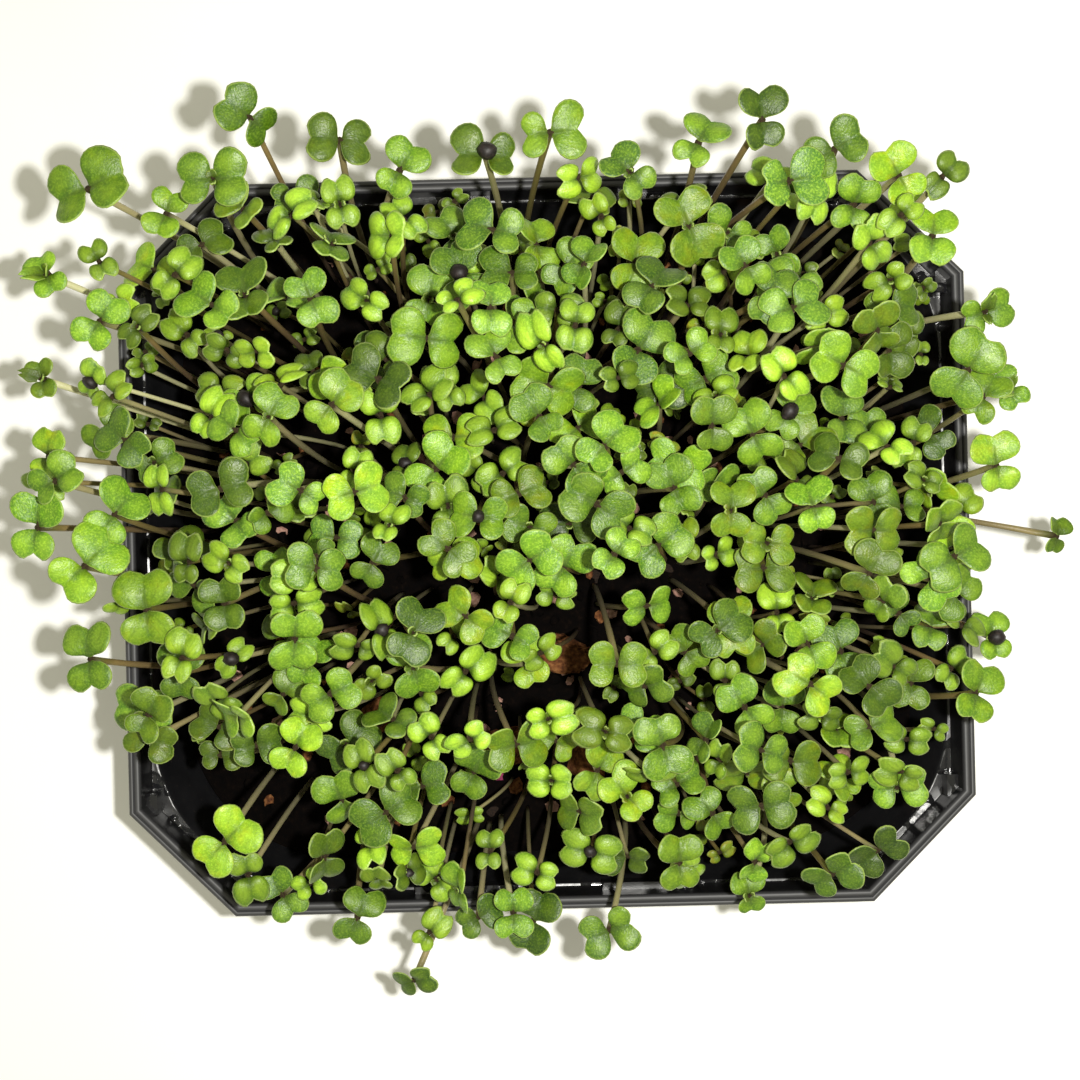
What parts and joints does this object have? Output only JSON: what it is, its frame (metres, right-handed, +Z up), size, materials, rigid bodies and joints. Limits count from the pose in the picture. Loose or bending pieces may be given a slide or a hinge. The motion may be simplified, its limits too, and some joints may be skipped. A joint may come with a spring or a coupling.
{
  "type": "microgreens tray",
  "caption": "Low eight-sided growing tray of thin plastic, filled with potting soil and a dense crop of brassica seedlings with paired seed leaves.",
  "frame": {"origin": "centre of the tray's underside, on the surface it stands on", "axes": "+X along the tray's long side, +Y along its short side, +Z up"},
  "size_m": [0.1976, 0.1648, 0.1049],
  "materials": {
    "tray_plastic": "glossy black thermoformed plastic",
    "potting_soil": "moist dark peat and coir mix",
    "coconut_fibre": "red-brown fibrous husk chip",
    "seed_coat": "dark dry seed skin",
    "seedling": "satin green seed leaf with a mauve-brown stem"
  },
  "bodies": {
    "root": {"clump_01": "seedling", "clump_02": "seedling", "clump_03": "seedling", "clump_04": "seedling", "clump_05": "seedling", "clump_06": "seedling", "clump_07": "seedling", "clump_08": "seedling", "clump_09": "seedling", "clump_10": "seedling", "clump_11": "seedling", "clump_12": "seedling", "clump_13": "seedling", "clump_14": "seedling", "clump_15": "seedling", "clump_16": "seedling", "clump_17": "seedling", "clump_18": "seedling", "clump_19": "seedling", "clump_20": "seedling", "clump_21": "seedling", "clump_22": "seedling", "clump_23": "seedling", "clump_24": "seedling", "clump_25": "seedling", "clump_26": "seedling", "clump_27": "seedling", "clump_28": "seedling", "clump_29": "seedling", "clump_30": "seedling", "clump_31": "seedling", "clump_32": "seedling", "clump_33": "seedling", "clump_34": "seedling", "clump_35": "seedling", "clump_36": "seedling", "clump_37": "seedling", "clump_38": "seedling", "clump_39": "seedling", "clump_40": "seedling", "coir_chunk_1": "coconut_fibre", "coir_chunk_2": "coconut_fibre", "coir_chunk_3": "coconut_fibre", "coir_chunk_4": "coconut_fibre", "seed_coat_1": "seed_coat", "seed_coat_2": "seed_coat", "seed_coat_3": "seed_coat", "seed_coat_4": "seed_coat", "seed_coat_5": "seed_coat", "soil": "potting_soil", "tray": "tray_plastic"}
  },
  "joints": []
}
